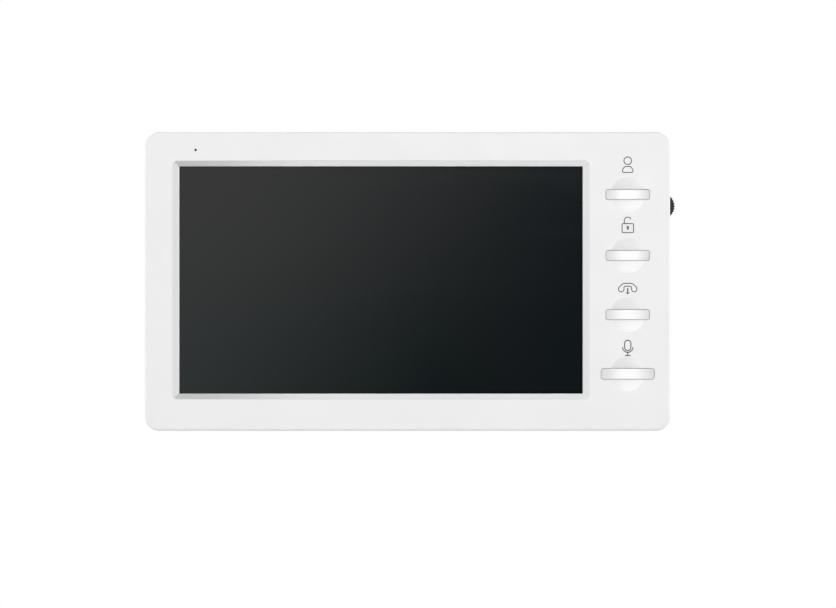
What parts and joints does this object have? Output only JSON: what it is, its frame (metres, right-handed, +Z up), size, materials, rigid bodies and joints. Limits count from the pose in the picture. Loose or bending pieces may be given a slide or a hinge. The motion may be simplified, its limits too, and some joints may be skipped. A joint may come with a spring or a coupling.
{
  "type": "wall-mounted video intercom monitor",
  "caption": "Flat rounded case with a wide screen, bar keys over round dimples, a side volume wheel, a rear speaker grille and a hook-on steel wall bracket.",
  "frame": {"origin": "centre of the wall bracket's screw pattern, on its wall face", "axes": "+X to the viewer's right along the case, +Y into the wall, +Z up"},
  "size_m": [0.2039, 0.026, 0.115],
  "materials": {
    "case_white": "fine satin texture",
    "key_white": "smooth gloss",
    "window_glass": "polished tinted clear sheet",
    "black_tape": "matt foam tape",
    "bracket_steel": "zinc-plated sheet",
    "screw_steel": "zinc-plated",
    "frame_steel": "pressed sheet",
    "spring_steel": "polished sheet",
    "display_glass": "dark polished glass",
    "backlight_white": "matt",
    "ribbon_amber": "satin film",
    "ribbon_white": "satin film",
    "black_plastic": "fine matt",
    "wheel_black": "satin",
    "soft_rubber": "matt",
    "board_green": "solder mask over copper",
    "chip_black": "moulded matt",
    "can_metal": "drawn can",
    "ferrite": "pressed powder",
    "socket_ivory": "moulded satin",
    "contact_gold": "gold flash",
    "basket_steel": "black zinc",
    "cone_paper": "pressed paper",
    "magnet_dark": "sintered and ground",
    "lead_red": "extruded sleeve"
  },
  "bodies": {
    "bracket": {"wall_bracket": "bracket_steel"},
    "monitor": {"front_cover": "case_white", "rear_cover": "case_white", "case_screws": "screw_steel", "screen_window": "window_glass", "window_tape": "black_tape", "lcd_frame": "frame_steel", "lcd_panel": "display_glass", "lcd_backlight": "backlight_white", "lcd_clamps": "spring_steel", "lcd_clamp_screws": "screw_steel", "lcd_ribbon": "ribbon_amber", "switch_bodies": "black_plastic", "switch_covers": "spring_steel", "switch_domes": "spring_steel", "control_board": "board_green", "control_board_screws": "screw_steel", "control_ribbon": "ribbon_white", "volume_pot": "black_plastic", "wheel_rivet": "spring_steel", "microphone": "can_metal", "mic_boot": "soft_rubber", "mic_lead": "lead_red", "main_board": "board_green", "main_board_screws": "screw_steel", "shield_can": "spring_steel", "processor": "chip_black", "memory_chips": "chip_black", "capacitors": "can_metal", "power_coils": "ferrite", "ribbon_sockets": "socket_ivory", "lead_sockets": "socket_ivory", "door_sockets": "socket_ivory", "camera_socket": "socket_ivory", "power_socket": "socket_ivory", "socket_pins": "contact_gold", "speaker_basket": "basket_steel", "speaker_cone": "cone_paper", "speaker_magnet": "magnet_dark", "speaker_gasket": "soft_rubber", "speaker_screws": "screw_steel", "speaker_lead": "lead_red"},
    "monitor_key": {"monitor_key": "key_white", "monitor_plunger": "black_plastic"},
    "unlock_key": {"unlock_key": "key_white", "unlock_plunger": "black_plastic"},
    "hangup_key": {"hangup_key": "key_white", "hangup_plunger": "black_plastic"},
    "talk_key": {"talk_key": "key_white", "talk_plunger": "black_plastic"},
    "volume_wheel": {"volume_wheel": "wheel_black"}
  },
  "joints": [
    {"name": "lift_off", "type": "slide", "parent": "bracket", "child": "monitor", "axis": [0, 0, 1], "range_m": [0, 0.0055]},
    {"name": "monitor_press", "type": "slide", "parent": "monitor", "child": "monitor_key", "axis": [0, 1, 0], "range_m": [0, 0.0005], "stiffness_N_per_m": 1500, "springref_m": -0.0004},
    {"name": "unlock_press", "type": "slide", "parent": "monitor", "child": "unlock_key", "axis": [0, 1, 0], "range_m": [0, 0.0005], "stiffness_N_per_m": 1500, "springref_m": -0.0004},
    {"name": "hangup_press", "type": "slide", "parent": "monitor", "child": "hangup_key", "axis": [0, 1, 0], "range_m": [0, 0.0005], "stiffness_N_per_m": 1500, "springref_m": -0.0004},
    {"name": "talk_press", "type": "slide", "parent": "monitor", "child": "talk_key", "axis": [0, 1, 0], "range_m": [0, 0.0005], "stiffness_N_per_m": 1500, "springref_m": -0.0004},
    {"name": "volume_turn", "type": "hinge", "parent": "monitor", "child": "volume_wheel", "pos_m": [0.09775, -0.017, 0.029], "axis": [0, -1, 0], "range_deg": [-135, 135]}
  ]
}
